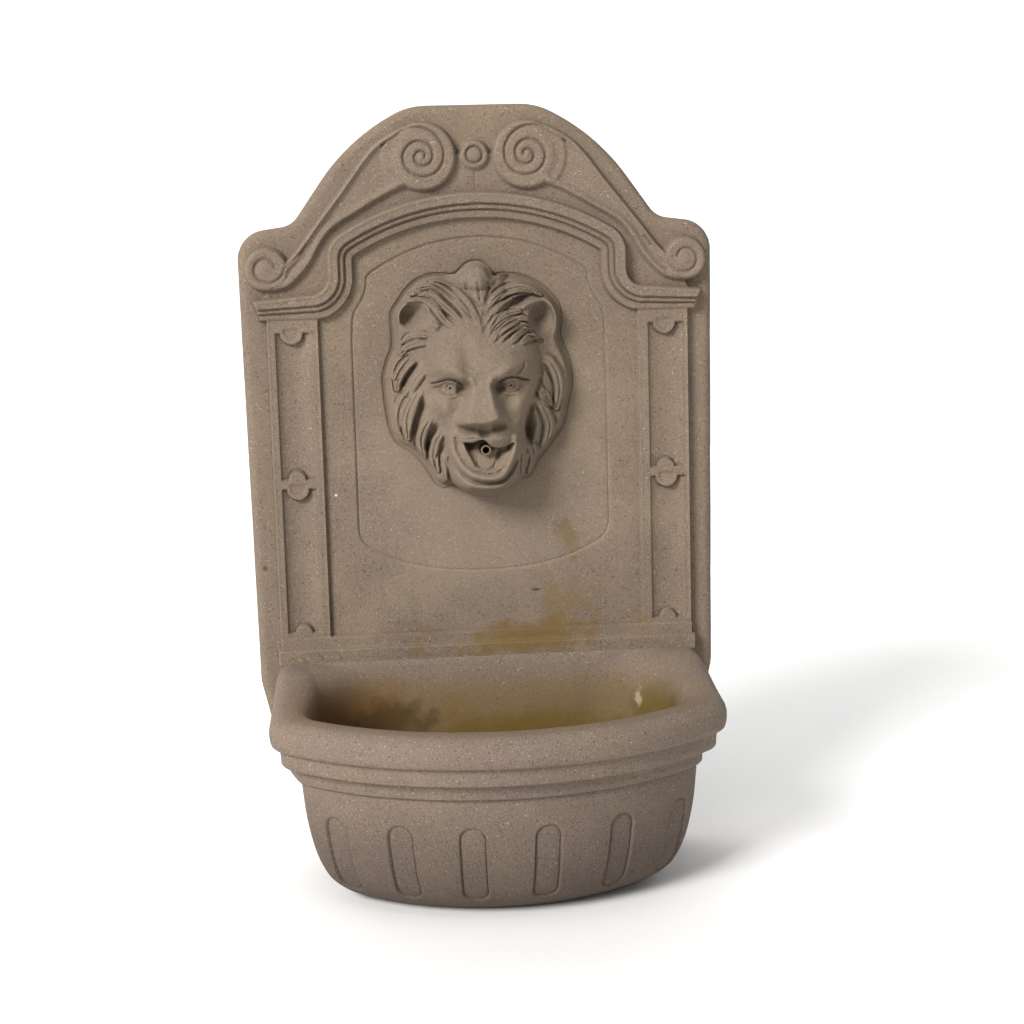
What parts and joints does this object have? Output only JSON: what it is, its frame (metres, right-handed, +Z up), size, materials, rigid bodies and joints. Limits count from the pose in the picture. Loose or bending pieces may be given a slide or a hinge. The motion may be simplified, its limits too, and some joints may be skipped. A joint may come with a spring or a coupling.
{
  "type": "wall fountain font",
  "caption": "Wall-mounted cast stone font with an arched classical back panel, a lion mask spout and a half-round basin that hides a small recirculating pump.",
  "frame": {"origin": "middle of the panel's foot on the wall plane, at the height of the flat base", "axes": "+X to the viewer's right, +Y into the wall, +Z up; the font's front faces -Y"},
  "size_m": [0.4702, 0.29, 0.754],
  "materials": {
    "cast_stone": "sandstone textured cast stone, matt",
    "brass": "turned, lightly dulled",
    "steel": "zinc plated",
    "black_plastic": "moulded, fine texture",
    "cover_sheet": "pressed sheet",
    "rubber": "soft, matt",
    "clear_hose": "clouded soft tube",
    "white_plastic": "moulded",
    "ceramic": "polished technical ceramic",
    "grey_plastic": "moulded"
  },
  "bodies": {
    "font": {"back_panel": "cast_stone", "lion_mask": "cast_stone", "basin": "cast_stone", "basin_gasket": "rubber", "basin_inserts": "brass", "basin_bolts": "steel", "basin_washers": "steel", "rear_cover": "cover_sheet", "cover_screws": "steel", "hanger_plates": "steel", "hanger_screws": "steel", "spout_nozzle": "brass", "spout_washer": "rubber", "spout_locknut": "brass", "spout_elbow": "black_plastic", "supply_hose": "clear_hose", "hose_clamps": "steel", "bulkhead_elbow": "black_plastic", "bulkhead_washer": "rubber", "bulkhead_nut": "black_plastic", "pump_hose": "clear_hose", "pump_body": "black_plastic", "pump_outlet_barb": "black_plastic", "impeller_shaft": "ceramic", "shaft_bushes": "rubber", "pump_volute_cover": "black_plastic", "pump_intake_cover": "black_plastic", "suction_feet": "rubber", "drain_bush": "white_plastic", "cord_grommet": "rubber", "cord_exit_grommet": "rubber"},
    "impeller": {"pump_impeller": "white_plastic"},
    "dial": {"flow_dial": "grey_plastic"},
    "plug": {"drain_plug": "rubber"}
  },
  "joints": [
    {"name": "impeller_spin", "type": "hinge", "parent": "font", "child": "impeller", "pos_m": [-0.008, -0.14, 0.05], "axis": [1, 0, 0], "continuous": true},
    {"name": "flow_dial_turn", "type": "hinge", "parent": "font", "child": "dial", "pos_m": [0.026, -0.14, 0.05], "axis": [1, 0, 0], "range_deg": [0, 90]},
    {"name": "drain_plug_lift", "type": "slide", "parent": "font", "child": "plug", "axis": [0, 0, 1], "range_m": [0, 0.03]}
  ]
}
